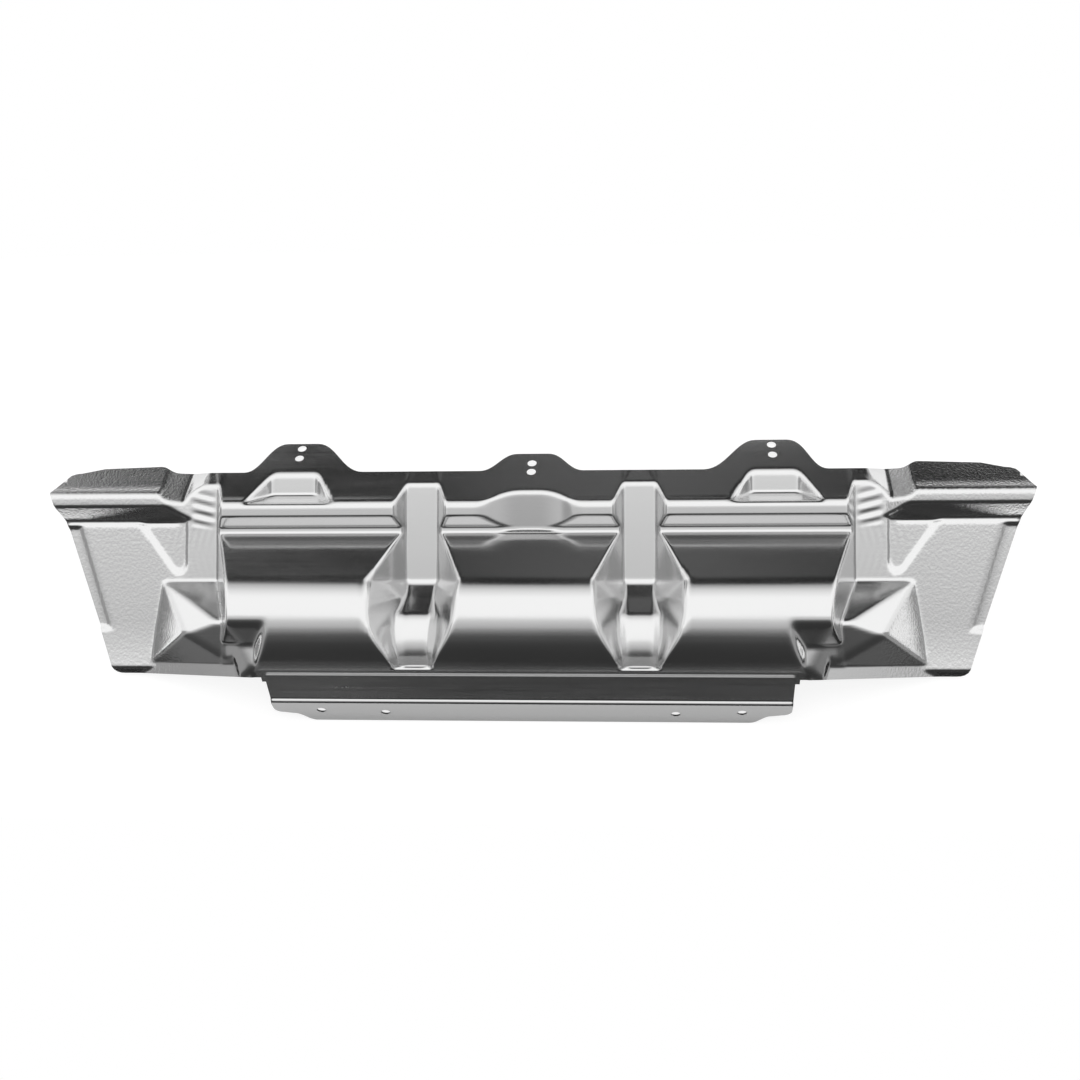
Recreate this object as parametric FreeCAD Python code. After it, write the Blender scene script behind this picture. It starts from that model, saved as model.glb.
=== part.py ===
"""Exhaust heat shield: one deep-drawn sheet with a folded mounting strip on its lower edge.

All lengths are in millimetres. The sheet is drawn in the press frame: X along the shield, Y towards
the tabs and Z towards the convex side, with Z = 0 at the floor that the ribs and end panels share.
The finished pieces are then turned about X until the shield lies on its side tabs and the strip's edge.
"""
import FreeCAD
import Part
import math
import os

V = FreeCAD.Vector

# Sheet
sheet = 1.0
strip_sheet = 1.5

# Top flange, which leans back from the convex side
flange_tilt = 45.0
flange_sum = 97.2          # Y + Z of a point on the flange's face, which sets where the flange stands
flange_top_y = 109.7

# Ridge and valley between the flange and the trough
ridge_radius = 12.0
step_tilt = 50.0
valley_y = 55.1
valley_z = 4.0
valley_radius = 7.0

# Trough over the exhaust pipe
upper_wall_tilt = 48.0
trough_radius = 53.0
trough_crest_z = 68.4
lower_wall_tilt = 52.0
trough_foot_y = -68.0
trough_foot_radius = 4.0
trough_half_length = 287.5  # at the floor level
end_wall_run = 0.436        # outward run of the end wall for each unit of depth

# Lap flange that the strip is welded on
lap_tilt = 43.0
lap_width = 15.0
lap_half_length = 234.0

# End panels with their own shorter ridge
end_ridge_y = 82.0
end_ridge_z = 19.0
end_ridge_radius = 9.0
end_panel_y = 66.0
end_panel_radius = 5.0
end_section_start = 312.0   # where its slope leaves the floor
end_section_run = 1.42
lip_y = -69.0
lip_tilt = 45.0
lip_radius = 3.0

# Outline of the blank, half of it, from the flange tip round to the lap
tip_x = 441.0
tip_y = 90.6
shoulder_x = 431.0
notch_x = 399.5
notch_y = 114.0
end_top_inner_x = 346.0
end_top_y = 115.9
flange_start_x = 328.6
rim_turn_x = 430.8
rim_turn_y = 64.5
foot_x = 385.8
foot_y = -68.4
bottom_y = -75.0

# Mounting tabs
side_tab_x = 218.7
side_tab_half_width = 18.2
side_tab_base_inner = 155.7
side_tab_base_outer = 266.7
side_tab_y = 138.9
side_hole_y = 128.8
side_hole_pitch = 14.1
centre_tab_half_width = 19.4
centre_tab_base = 47.4
centre_tab_y = 126.6
centre_hole_y = 112.7
centre_hole_pitch = 12.1
hole_radius = 4.2

# Stiffening ribs, pressed back to the floor
rib_x = 98.1
rib_half_width = 14.0
rib_wall_run = 0.48
rib_ramp_start_y = 8.0
rib_ramp_tilt = 46.0
rib_ramp_rise = 14.5
rib_back_radius = 58.0
rib_foot_radius = 34.0
# Along each rib: y, half width of its floor, outward run of its walls for each unit of height
rib_stations = [(150.0, rib_half_width, rib_wall_run), (rib_ramp_start_y, rib_half_width, rib_wall_run),
                (-5.0, 12.2, 0.55), (-16.0, 10.8, 0.64), (-28.0, 10.0, 0.67), (-40.0, 9.6, 0.61),
                (-50.0, 9.2, 0.50), (-58.0, 8.8, 0.41), (-66.5, 8.4, 0.33)]

# Clearance pockets under the tabs
pocket_floor_z = -11.0
pocket_half_width = 21.0
pocket_wall_run = 0.67
pocket_foot_y = 87.5
pocket_foot_run = 0.30
centre_pad_z = 4.5
centre_pad_half_width = 20.0
centre_pad_run = 1.75

# Buttress at each end of the trough: corner points
buttress_apex = V(305.2, -36.2, 37.8)
buttress_back = V(274.2, -25.9, 45.0)
buttress_inner = V(257.7, -63.8, 38.0)
buttress_outer = V(350.2, -65.0, 0.0)
buttress_tip = V(338.4, 9.45, 0.0)
ledge_top_y = -55.0

# Shoulder where the trough's lower wall is set back beside each end wall
set_back_x = 224.0
set_back_y = -46.0
set_back_z = 45.5
set_back_wall_run = 0.5
set_back_side_run = 2.0

# Rim set back along each end
rim_depth = 3.0
rim_inner_top_x = 418.5
rim_inner_foot_x = 391.0
rim_top_y = 58.0
rim_foot_y = -31.5

# Mounting strip
strip_half_length = 230.0
strip_gap = 5.0             # from the trough's foot to the strip's edge
strip_face_width = 31.0
strip_jog_width = 3.2       # narrow step along the fold
strip_jog_tilt = 12.0
strip_jog_radius = 2.5
strip_flange_width = 35.0
strip_flange_tilt = 59.0
strip_bend_radius = 0.8
strip_ear_half_length = 194.5
strip_ear_run = 19.0
strip_ear_flat = 8.0
strip_end_width = 19.0
strip_corner_radius = 8.0
strip_outer_hole_x = 187.0
strip_inner_hole_x = 129.3
strip_outer_hole_offset = 14.5    # from the fold
strip_inner_hole_offset = 18.0
strip_hole_radius = 4.2

# Construction space around the part
deep = 90.0
wide = 470.0


def tilt(angle):
    """Direction in (Y, Z) down a face whose normal leans `angle` degrees from Z towards Y."""
    return -math.cos(math.radians(angle)), math.sin(math.radians(angle))


def meet(point_a, dir_a, point_b, dir_b):
    """Crossing point of two lines in the (Y, Z) plane."""
    cross = dir_a[0] * dir_b[1] - dir_a[1] * dir_b[0]
    dy = point_b[0] - point_a[0]
    dz = point_b[1] - point_a[1]
    along = (dy * dir_b[1] - dz * dir_b[0]) / cross
    return point_a[0] + along * dir_a[0], point_a[1] + along * dir_a[1]


def straight(start, end):
    """Edge between two (y, z) points, as a list that is empty where arcs meet without one."""
    a = V(0, start[0], start[1])
    b = V(0, end[0], end[1])
    return [Part.LineSegment(a, b).toShape()] if a.distanceToPoint(b) > 1e-6 else []


def arc(start, middle, end):
    return Part.Arc(V(0, start[0], start[1]), V(0, middle[0], middle[1]), V(0, end[0], end[1])).toShape()


def chain(corners, inset):
    """Edges of a bent line through (y, z, bend radius) corners, moved `inset` into the sheet.

    Bend radii shrink on outer bends and grow on inner ones, so the sheet keeps its thickness.
    """
    dirs = []
    for (y1, z1, _), (y2, z2, _) in zip(corners, corners[1:]):
        length = math.hypot(y2 - y1, z2 - z1)
        dirs.append(((y2 - y1) / length, (z2 - z1) / length))
    moved = []
    for (y, z, _), (dy, dz) in zip(corners, dirs):
        moved.append((y - dz * inset, z + dy * inset))
    points = [moved[0]]
    for k in range(1, len(dirs)):
        points.append(meet(moved[k - 1], dirs[k - 1], moved[k], dirs[k]))
    last_dir = dirs[-1]
    points.append((corners[-1][0] - last_dir[1] * inset, corners[-1][1] + last_dir[0] * inset))
    edges = []
    start = points[0]
    for k in range(1, len(dirs)):
        (ay, az), (by, bz) = dirs[k - 1], dirs[k]
        turn = math.atan2(ay * bz - az * by, ay * by + az * bz)
        radius = corners[k][2] - math.copysign(inset, turn)
        if corners[k][2] > 0 and radius > 0:
            tangent = radius * math.tan(abs(turn) / 2)
            cy, cz = points[k]
            before = (cy - ay * tangent, cz - az * tangent)
            after = (cy + by * tangent, cz + bz * tangent)
            toward = math.hypot(by - ay, bz - az)
            depth = radius / math.cos(turn / 2) - radius
            middle = (cy + (by - ay) / toward * depth, cz + (bz - az) / toward * depth)
            edges += straight(start, before) + [arc(before, middle, after)]
            start = after
        else:
            edges += straight(start, points[k])
            start = points[k]
    return edges + straight(start, points[-1])


def ends_of(edges):
    return edges[0].Vertexes[0].Point, edges[-1].Vertexes[-1].Point


def prism(edges, reach, start=V(0, 0, 0)):
    """Solid swept along `reach` from the face that the edges enclose, beginning at `start`."""
    face = Part.Face(Part.Wire(Part.__sortEdges__(edges)))
    solid = face.extrude(reach)
    if solid.Volume < 0:
        solid.reverse()
    solid.translate(start)
    return solid


def closed_at(corners, inset, level, x_from, x_to):
    """Solid between a bent line and the plane Z = level, from x_from to x_to."""
    edges = chain(corners, inset)
    first, last = ends_of(edges)
    edges.append(Part.LineSegment(last, V(0, last.y, level)).toShape())
    edges.append(Part.LineSegment(V(0, last.y, level), V(0, first.y, level)).toShape())
    edges.append(Part.LineSegment(V(0, first.y, level), first).toShape())
    return prism(edges, V(x_to - x_from, 0, 0), V(x_from, 0, 0))


def ground(corners, inset, x_from, x_to):
    """Solid below a bent line, from x_from to x_to."""
    return closed_at(corners, inset, -deep, x_from, x_to)


def block(x_from, x_to, y_from, y_to, z_from, z_to):
    solid = Part.makeBox(x_to - x_from, y_to - y_from, z_to - z_from)
    solid.translate(V(x_from, y_from, z_from))
    return solid


def beyond(point, normal):
    """Large block on the outer side of the plane through `point`."""
    size = 4 * wide
    solid = Part.makeBox(size, size, size, V(-size / 2, -size / 2, 0))
    solid.Placement = FreeCAD.Placement(V(point), FreeCAD.Rotation(V(0, 0, 1), normal))
    return solid


def trimmed(solid, planes, inset):
    """`solid` cut by each (point, outward normal) plane, with each plane moved `inset` inwards."""
    for point, normal in planes:
        unit = V(normal).normalize()
        solid = solid.cut(beyond(point - unit * inset, unit))
    return solid


def plane_through(a, b, c):
    """Plane through three points, with its normal on the convex side of the sheet."""
    normal = (b - a).cross(c - a)
    if normal.z < 0:
        normal = -normal
    return a, normal


def mirrored(solid):
    return solid.mirror(V(0, 0, 0), V(1, 0, 0))


def both_ends(solid):
    return solid.fuse(mirrored(solid))


def flange_corner():
    """A point of the flange's face well above its edge, where every section starts."""
    reach = side_tab_y + 15
    return reach, flange_sum - reach


def trough_section():
    flange_dir = tilt(flange_tilt)
    step_dir = tilt(-step_tilt)
    wall_dir = tilt(upper_wall_tilt)
    flank_dir = tilt(-lower_wall_tilt)
    lap_dir = tilt(-lap_tilt)
    start = flange_corner()
    valley = (valley_y, valley_z)
    ridge = meet(start, flange_dir, valley, step_dir)
    # Centre of the crest's arc: tangent to the upper wall, with its top at trough_crest_z
    centre_z = trough_crest_z - trough_radius
    wall_angle = math.radians(upper_wall_tilt)
    along = valley_y * math.sin(wall_angle) + valley_z * math.cos(wall_angle)
    centre_y = (along - trough_radius - centre_z * math.cos(wall_angle)) / math.sin(wall_angle)
    flank_angle = math.radians(lower_wall_tilt)
    flank_point = (centre_y - trough_radius * math.sin(flank_angle),
                   centre_z + trough_radius * math.cos(flank_angle))
    crown = meet(valley, wall_dir, flank_point, flank_dir)
    foot = meet(flank_point, flank_dir, (trough_foot_y, 0), (0, 1))
    lap_end = (foot[0] + 2 * lap_width * lap_dir[0], foot[1] + 2 * lap_width * lap_dir[1])
    return [start + (0,), ridge + (ridge_radius,), valley + (valley_radius,),
            crown + (trough_radius,), foot + (trough_foot_radius,), lap_end + (0,)]


def floor_section():
    start = flange_corner()
    corner = (flange_sum, 0)
    lip_dir = tilt(-lip_tilt)
    lip_end = (lip_y + 30 * lip_dir[0], 30 * lip_dir[1])
    return [start + (0,), corner + (end_panel_radius,), (lip_y, 0, lip_radius), lip_end + (0,)]


def end_section():
    start_y = flange_corner()[0]
    sum_yz = end_ridge_y + end_ridge_z
    lip_dir = tilt(-lip_tilt)
    lip_end = (lip_y + 30 * lip_dir[0], 30 * lip_dir[1])
    return [(start_y, sum_yz - start_y, 0), (end_ridge_y, end_ridge_z, end_ridge_radius),
            (end_panel_y, 0, end_panel_radius), (lip_y, 0, lip_radius), lip_end + (0,)]


def rib_floor(y):
    """Height and slope (dz/dy) of a rib's floor: flat, then a ramp, then over a rounded crest."""
    angle = math.radians(rib_ramp_tilt)
    ramp_end_y = rib_ramp_start_y - rib_ramp_rise / math.tan(angle)
    crest_y = ramp_end_y - rib_back_radius * math.sin(angle)
    crest_z = rib_ramp_rise + rib_back_radius * (1 - math.cos(angle))
    if y >= ramp_end_y:
        return max(0, (rib_ramp_start_y - y) * math.tan(angle)), -math.tan(angle)
    radius = rib_back_radius if y >= crest_y else rib_foot_radius
    rise = math.sqrt(radius ** 2 - (y - crest_y) ** 2)
    return crest_z - radius + rise, -(y - crest_y) / rise


def rib_groove(centre_x, inset):
    """Space over a rib's floor, between leaning walls that close in like a leaf towards its foot."""
    sections = []
    for y, half, run in rib_stations:
        if y >= rib_ramp_start_y:
            z, ny, nz = 0, math.tan(math.radians(rib_ramp_tilt / 2)) if y == rib_ramp_start_y else 0, 1
        else:
            z, slope = rib_floor(y)
            ny, nz = -slope / math.hypot(slope, 1), 1 / math.hypot(slope, 1)
        low_y, low_z = y - inset * ny, z - inset * nz
        low = half - run * inset * nz + inset * math.hypot(run, 1)
        high = low + run * (deep - low_z)
        corners = [V(-low, low_y, low_z), V(low, low_y, low_z), V(high, low_y, deep), V(-high, low_y, deep)]
        sections.append(Part.makePolygon(corners + corners[:1]))
    end = sections[-1].copy()
    end.translate(V(0, -inset, 0))
    groove = Part.makeLoft(sections, True, True)
    groove = groove.fuse(Part.makeLoft([sections[-1], end], True, True)) if inset else groove
    groove.translate(V(centre_x, 0, 0))
    return groove


def side_pocket(inset):
    high = 2 * deep
    space = block(-2 * pocket_half_width - wide / 4, wide / 4 + 2 * pocket_half_width,
                  0, flange_corner()[0], -deep, high)
    planes = [(V(0, 0, pocket_floor_z), V(0, 0, -1)),
              (V(0, pocket_foot_y, pocket_floor_z), V(0, -1, -pocket_foot_run))]
    for side in (-1, 1):
        planes.append((V(side * pocket_half_width, 0, pocket_floor_z), V(side, 0, -pocket_wall_run)))
    space = trimmed(space, planes, -inset)
    space.translate(V(side_tab_x, 0, 0))
    return space


def centre_pad(inset):
    high = 2 * deep
    space = block(-wide / 2, wide / 2, valley_y, flange_corner()[0], -deep, high)
    planes = [(V(0, 0, centre_pad_z), V(0, 0, -1))]
    for side in (-1, 1):
        planes.append((V(side * centre_pad_half_width, 0, centre_pad_z), V(side, 0, -centre_pad_run)))
    return trimmed(space, planes, -inset)


def buttress(inset):
    planes = [plane_through(buttress_tip, V(0, buttress_tip.y, 0), buttress_back),
              plane_through(buttress_tip, buttress_apex, buttress_back),
              plane_through(buttress_apex, buttress_back, buttress_inner),
              plane_through(buttress_outer, buttress_apex, buttress_tip),
              plane_through(buttress_outer, buttress_apex, buttress_inner)]
    body = block(240, 380, -110, 40, -deep, deep)
    body = trimmed(body, planes, inset)
    ledge = block(240, 380, -110, ledge_top_y, -deep, deep)
    ledge_plane = plane_through(buttress_outer, buttress_inner, buttress_outer + V(0, 10, 0))
    return body.fuse(trimmed(ledge, [ledge_plane], inset))


def end_shoulder(inset):
    """Space over the shoulder beside the end wall at +X, on the lower side of the trough."""
    space = block(rib_x, trough_half_length, -deep, 0, 0, deep)
    planes = [(V(0, 0, set_back_z), V(0, 0, -1)),
              (V(0, set_back_y, set_back_z), V(0, 1, -set_back_wall_run)),
              (V(set_back_x, 0, set_back_z), V(-1, 0, -set_back_side_run))]
    return trimmed(space, planes, -inset)


def rim_space(inset):
    """Space over the set-back rim of the end panel at +X, with sloping steps round it."""
    run_x = rim_inner_top_x - rim_inner_foot_x
    run_y = rim_top_y - rim_foot_y
    length = math.hypot(run_x, run_y)
    planes = [(V(0, 0, -rim_depth), V(0, 0, -1)),
              (V(rim_inner_foot_x, rim_foot_y, -rim_depth), V(-run_y / length, run_x / length, -1)),
              (V(0, rim_top_y, -rim_depth), V(0, 1, -1)),
              (V(0, rim_foot_y, -rim_depth), V(0, -1, -1))]
    space = block(wide / 2, 2 * wide, -wide / 2, wide / 2, -deep, 2 * deep)
    return trimmed(space, planes, -inset)


def skin(inset):
    """Solid under the sheet's convex face, or under its hollow face with `inset` = the sheet."""
    floor = ground(floor_section(), inset, -wide, wide)
    ends = ground(end_section(), inset, end_section_start - end_section_run * deep, wide)
    slope = (V(end_section_start, 0, 0), V(-1, 0, end_section_run))
    ends = trimmed(ends, [slope], inset)
    middle = ground(trough_section(), inset, -2 * trough_half_length, 2 * trough_half_length)
    walls = []
    for side in (-1, 1):
        walls.append((V(side * trough_half_length, 0, 0), V(side, 0, end_wall_run)))
    middle = trimmed(middle, walls, inset)
    for centre in (-rib_x, rib_x):
        middle = middle.cut(rib_groove(centre, inset))
    middle = middle.cut(centre_pad(inset)).cut(both_ends(end_shoulder(inset)))
    solid = floor.fuse([middle, both_ends(ends), both_ends(buttress(inset))])
    solid = solid.cut(both_ends(side_pocket(inset)))
    return solid.cut(both_ends(rim_space(inset)))


def s_curve(a, b, flat_a, flat_b):
    """Smooth edge between two points of the blank, level at both ends."""
    curve = Part.BezierCurve()
    curve.setPoles([a, V(a.x + flat_a, a.y, 0), V(b.x - flat_b, b.y, 0), b])
    return curve.toShape()


def half_outline():
    """Blank's edge on the +X side, from the centre tab round to the middle of the lap."""
    lap_end_y = trough_foot_y - lap_width * math.cos(math.radians(lap_tilt))
    points_tab = V(centre_tab_half_width - 5, centre_tab_y, 0)
    edges = [Part.LineSegment(V(0, centre_tab_y, 0), points_tab).toShape()]
    base = V(centre_tab_base, flange_top_y, 0)
    edges.append(s_curve(points_tab, base, 14, 14))
    inner_base = V(side_tab_base_inner, flange_top_y, 0)
    edges.append(Part.LineSegment(base, inner_base).toShape())
    tab_inner = V(side_tab_x - side_tab_half_width + 4, side_tab_y, 0)
    edges.append(s_curve(inner_base, tab_inner, 20, 18))
    tab_outer = V(side_tab_x + side_tab_half_width - 4, side_tab_y, 0)
    edges.append(Part.LineSegment(tab_inner, tab_outer).toShape())
    outer_base = V(side_tab_base_outer, flange_top_y, 0)
    edges.append(s_curve(tab_outer, outer_base, 18, 16))
    flange_end = V(flange_start_x, flange_top_y, 0)
    edges.append(Part.LineSegment(outer_base, flange_end).toShape())
    end_top = V(end_top_inner_x, end_top_y, 0)
    edges.append(s_curve(flange_end, end_top, 7, 7))
    notch = V(notch_x, notch_y, 0)
    edges.append(Part.LineSegment(end_top, notch).toShape())
    shoulder = V(shoulder_x - 12, flange_top_y, 0)
    edges.append(Part.LineSegment(notch, shoulder).toShape())
    tip = V(tip_x, tip_y, 0)
    corner = V(shoulder_x, flange_top_y - 5, 0)
    mid = V(shoulder_x - 2.5, flange_top_y - 1.2, 0)
    edges.append(Part.Arc(shoulder, mid, corner).toShape())
    edges.append(Part.LineSegment(corner, tip).toShape())
    turn = V(rim_turn_x, rim_turn_y, 0)
    edges.append(Part.LineSegment(tip, turn).toShape())
    foot = V(foot_x, foot_y, 0)
    edges.append(Part.LineSegment(turn, foot).toShape())
    foot_end = V(foot_x - 11, bottom_y, 0)
    foot_mid = V(foot_x - 4, bottom_y + 1.6, 0)
    edges.append(Part.Arc(foot, foot_mid, foot_end).toShape())
    lap_side = V(lap_half_length, bottom_y, 0)
    edges.append(Part.LineSegment(foot_end, lap_side).toShape())
    lap_low = V(lap_half_length, lap_end_y, 0)
    edges.append(Part.LineSegment(lap_side, lap_low).toShape())
    edges.append(Part.LineSegment(lap_low, V(0, lap_end_y, 0)).toShape())
    return edges


def blank():
    """Prism with the outline of the pressing."""
    half = half_outline()
    other = [edge.mirror(V(0, 0, 0), V(1, 0, 0)) for edge in half]
    return prism(half + other, V(0, 0, 3 * deep), V(0, 0, -1.5 * deep))


def hole_through_flange(x, y):
    normal = V(0, 1, 1).normalize()
    centre = V(x, y, flange_sum - y)
    return Part.makeCylinder(hole_radius, 40, centre - normal * 20, normal)


def pair_of_holes(x, y, pitch):
    rise = pitch / 2 * math.cos(math.radians(flange_tilt))
    return hole_through_flange(x, y + rise).fuse(hole_through_flange(x, y - rise))


def shield_pressing():
    solid = skin(0).cut(skin(sheet)).common(blank())
    holes = pair_of_holes(0, centre_hole_y, centre_hole_pitch)
    for side in (-1, 1):
        holes = holes.fuse(pair_of_holes(side * side_tab_x, side_hole_y, side_hole_pitch))
    return solid.cut(holes)


def strip_section():
    """Corners of the strip's inner face, starting on the lap just below the trough's foot."""
    foot = trough_section()[-2]
    points = [foot]
    for reach, angle in ((strip_gap, -lap_tilt), (strip_face_width, -lap_tilt),
                         (strip_jog_width, strip_jog_tilt), (strip_flange_width, -strip_flange_tilt)):
        dy, dz = tilt(angle)
        points.append((points[-1][0] + reach * dy, points[-1][1] + reach * dz))
    return points[1:]


def strip_frame(distance):
    """Placement with X along the strip, Y along its mounting flange and Z along its inner normal."""
    fold = strip_section()[2]
    dy, dz = tilt(-strip_flange_tilt)
    along = V(0, dy, dz)
    normal = V(1, 0, 0).cross(along)
    rotation = FreeCAD.Rotation(V(1, 0, 0), along, normal, "XYZ")
    origin = V(0, fold[0], fold[1]) + along * distance
    return FreeCAD.Placement(origin, rotation)


def strip_end_cut():
    """Space outside the strip's S-shaped lower corner, in the flange's own plane, at +X."""
    ear = V(strip_ear_half_length, strip_flange_width, 0)
    step = V(strip_ear_half_length + strip_ear_run, strip_end_width + 2, 0)
    round_start = V(strip_half_length - strip_corner_radius, strip_end_width, 0)
    round_end = V(strip_half_length, strip_end_width - strip_corner_radius, 0)
    bulge = strip_corner_radius * (1 - math.sqrt(0.5))
    round_mid = V(strip_half_length - bulge, strip_end_width - bulge, 0)
    far = 60
    edges = [s_curve(ear, step, strip_ear_flat, strip_ear_flat),
             Part.LineSegment(step, round_start).toShape(),
             Part.Arc(round_start, round_mid, round_end).toShape(),
             Part.LineSegment(round_end, V(strip_half_length + far, round_end.y, 0)).toShape(),
             Part.LineSegment(V(strip_half_length + far, round_end.y, 0),
                              V(strip_half_length + far, strip_flange_width + far, 0)).toShape(),
             Part.LineSegment(V(strip_half_length + far, strip_flange_width + far, 0),
                              V(ear.x, strip_flange_width + far, 0)).toShape(),
             Part.LineSegment(V(ear.x, strip_flange_width + far, 0), ear).toShape()]
    cut = prism(edges, V(0, 0, 20), V(0, 0, -10))
    cut.Placement = strip_frame(0).multiply(cut.Placement)
    return cut


def mounting_strip():
    top, fold, jog, tip = strip_section()
    corners = [top + (0,), fold + (strip_jog_radius,), jog + (strip_bend_radius,), tip + (0,)]
    inner = chain(corners, 0)
    outer = chain(corners, -strip_sheet)
    inner_first, inner_last = ends_of(inner)
    outer_first, outer_last = ends_of(outer)
    edges = inner + outer
    edges.append(Part.LineSegment(inner_first, outer_first).toShape())
    edges.append(Part.LineSegment(inner_last, outer_last).toShape())
    solid = prism(edges, V(2 * strip_half_length, 0, 0), V(-strip_half_length, 0, 0))
    solid = solid.cut(both_ends(strip_end_cut()))
    for x, offset in ((strip_outer_hole_x, strip_outer_hole_offset),
                      (strip_inner_hole_x, strip_inner_hole_offset)):
        for side in (-1, 1):
            drill = Part.makeCylinder(strip_hole_radius, 20, V(side * x, offset, -10))
            drill.Placement = strip_frame(0).multiply(drill.Placement)
            solid = solid.cut(drill)
    return solid


def to_rest(solids):
    """Turns the pieces until the side tabs and the strip's edge are level, and stands them on Z = 0."""
    tab_z = flange_sum - side_tab_y - sheet * math.sqrt(2)
    strip_tip = strip_section()[-1]
    lean = math.degrees(math.atan2(strip_tip[1] - tab_z, side_tab_y - strip_tip[0]))
    turned = []
    for solid in solids:
        solid = solid.copy()
        solid.rotate(V(0, 0, 0), V(1, 0, 0), lean)
        turned.append(solid)
    box = FreeCAD.BoundBox()
    for solid in turned:
        box.add(solid.optimalBoundingBox())
    for solid in turned:
        solid.translate(V(-box.Center.x, -box.Center.y, -box.ZMin))
    print("lean", round(lean, 3), "size", round(box.XLength, 2), round(box.YLength, 2),
          round(box.ZLength, 2), "moved", round(-box.Center.y, 3), round(-box.ZMin, 3))
    return turned


def main():
    os.makedirs("parts", exist_ok=True)
    pieces = {"shield_pressing": shield_pressing(), "mounting_strip": mounting_strip()}
    for name, solid in zip(pieces, to_rest(pieces.values())):
        print(name, "valid", solid.isValid(), "solids", len(solid.Solids), "faces", len(solid.Faces),
              "volume", round(solid.Volume, 1))
        solid.exportStep("parts/" + name + ".step")


main()
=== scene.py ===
"""Exhaust heat shield: smooth drawn pressing and folded strip over the fixed frame, with stage and camera.

Sizes are in millimetres in the press frame, which leans by a few degrees when the part lies at rest:
X runs along the shield, Y towards the tabs, Z towards the convex side. Meshes are written in metres.
"""

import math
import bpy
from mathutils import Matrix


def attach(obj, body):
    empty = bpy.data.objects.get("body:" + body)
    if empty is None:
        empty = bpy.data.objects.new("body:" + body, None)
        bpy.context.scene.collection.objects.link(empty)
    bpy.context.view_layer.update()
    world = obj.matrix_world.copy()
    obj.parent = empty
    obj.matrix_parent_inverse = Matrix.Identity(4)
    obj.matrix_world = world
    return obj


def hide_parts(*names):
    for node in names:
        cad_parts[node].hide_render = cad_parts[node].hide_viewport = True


bl_info = {
    "name": "Exhaust Heat Shield",
    "version": (1, 0, 0),
    "blender": (4, 5, 0),
    "location": "View3D > Sidebar > Heat Shield",
    "description": "Builds a drawn heat shield with its mounting strip, materials and stage",
    "category": "Object",
}

import bpy
import numpy as np
from mathutils import Vector
from mathutils.geometry import delaunay_2d_cdt

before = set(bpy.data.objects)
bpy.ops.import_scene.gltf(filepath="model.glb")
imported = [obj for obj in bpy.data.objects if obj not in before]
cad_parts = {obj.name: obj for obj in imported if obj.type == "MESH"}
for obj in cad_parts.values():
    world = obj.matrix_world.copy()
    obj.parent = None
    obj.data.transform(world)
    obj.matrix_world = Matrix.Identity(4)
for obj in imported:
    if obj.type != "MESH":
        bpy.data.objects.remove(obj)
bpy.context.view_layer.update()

# How the press frame lies at rest: its lean in degrees, and how far it is moved
LEAN = 8.4020982
SHIFT_Y = -14.444
SHIFT_Z = 22.356

# Lines of the section, as in the press tool
FLANGE_SUM = 97.2
END_FLANGE_SUM = 101.0
FLANGE_TOP = 109.7
START_Y = 153.9
VALLEY = (55.1, 4.0)
VALLEY_FLOOR = 7.2
CROWN_RADIUS = 53.0
CREST = 68.4
FOOT_Y = -68.0
LIP_Y = -69.0
BOTTOM_Y = -75.0
LAP_WIDTH = 15.0
LAP_HALF = 234.0

# How the faces of the section lean from the press plane, in degrees
FLANGE_TILT = 45.0
EDGE_TILT = 51.0
BROW_TILT = -2.0
STEP_TILT = -50.0
KNEE_TILT = 50.5
WALL_TILT = 48.0
FLANK_TILT = 52.0
LAP_TILT = 43.0
LIP_TILT = 45.0

# How far a line runs on past its last corner
RUN_OUT = 30.0

# Mounting strip: half length, start below the flank's foot, lap, jog, lower flange, and cut of its ears
STRIP_HALF = 230.0
STRIP_START = 5.0
STRIP_LAP = 31.0
STRIP_JOG = 3.2
JOG_TILT = 12.0
STRIP_FLANGE = 35.0
STRIP_TILT = 59.0
EAR_HALF = 194.5
EAR_DEPTH = 19.0

# Bolt holes: y and half distance of each pair in the tabs, x and distance from the jog in the strip
MIDDLE_HOLES = (112.7, 6.05)
SIDE_HOLES = (128.8, 7.05)
STRIP_HOLES = ((187.0, 14.5), (129.3, 18.0))

# Along each rib: y, half width of its mouth, half width of its flat floor, outward run of its walls
RIB_STATIONS = np.array([
    (-100.0, 12.0, 7.5, 0.06), (-66.4, 16.0, 8.4, 0.09), (-62.0, 18.0, 8.7, 0.14), (-58.0, 20.0, 8.8, 0.19),
    (-50.0, 24.6, 9.2, 0.30), (-40.0, 30.9, 9.6, 0.45), (-28.0, 36.0, 10.0, 0.53), (-16.0, 38.6, 10.8, 0.53),
    (-5.0, 39.6, 12.2, 0.51), (8.0, 40.2, 14.0, 0.48)])
RIB_NECK = 14.0

# Place, half width and depth of the dent beside each end panel
DENT_PLACE = 319.0
DENT_HALF = 19.0
DENT_DEPTH = 12.0

# Heights that limit nothing, above and below the sheet
FREE = 200.0
NOTHING = -90.0

# Corner points of the buttress at each end of the trough
APEX = (305.2, -36.2, 37.8)
BACK = (274.2, -25.9, 45.0)
INNER = (257.7, -63.8, 38.0)
OUTER = (350.2, -65.0, 0.0)
TIP = (338.4, 9.45, 0.0)

# Camera fitted to landmarks in the photograph: metres, radians, pixels, and millimetres for the sensor
CAMERA_PLACE = (0.1000, -0.1722, 1.1845)
CAMERA_TURN = (0.1745, 0.0770, 0.0102)
FOCAL_LENGTH = 1309.41
IMAGE_WIDTH = 1080.0
SENSOR_WIDTH = 36.0


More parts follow.
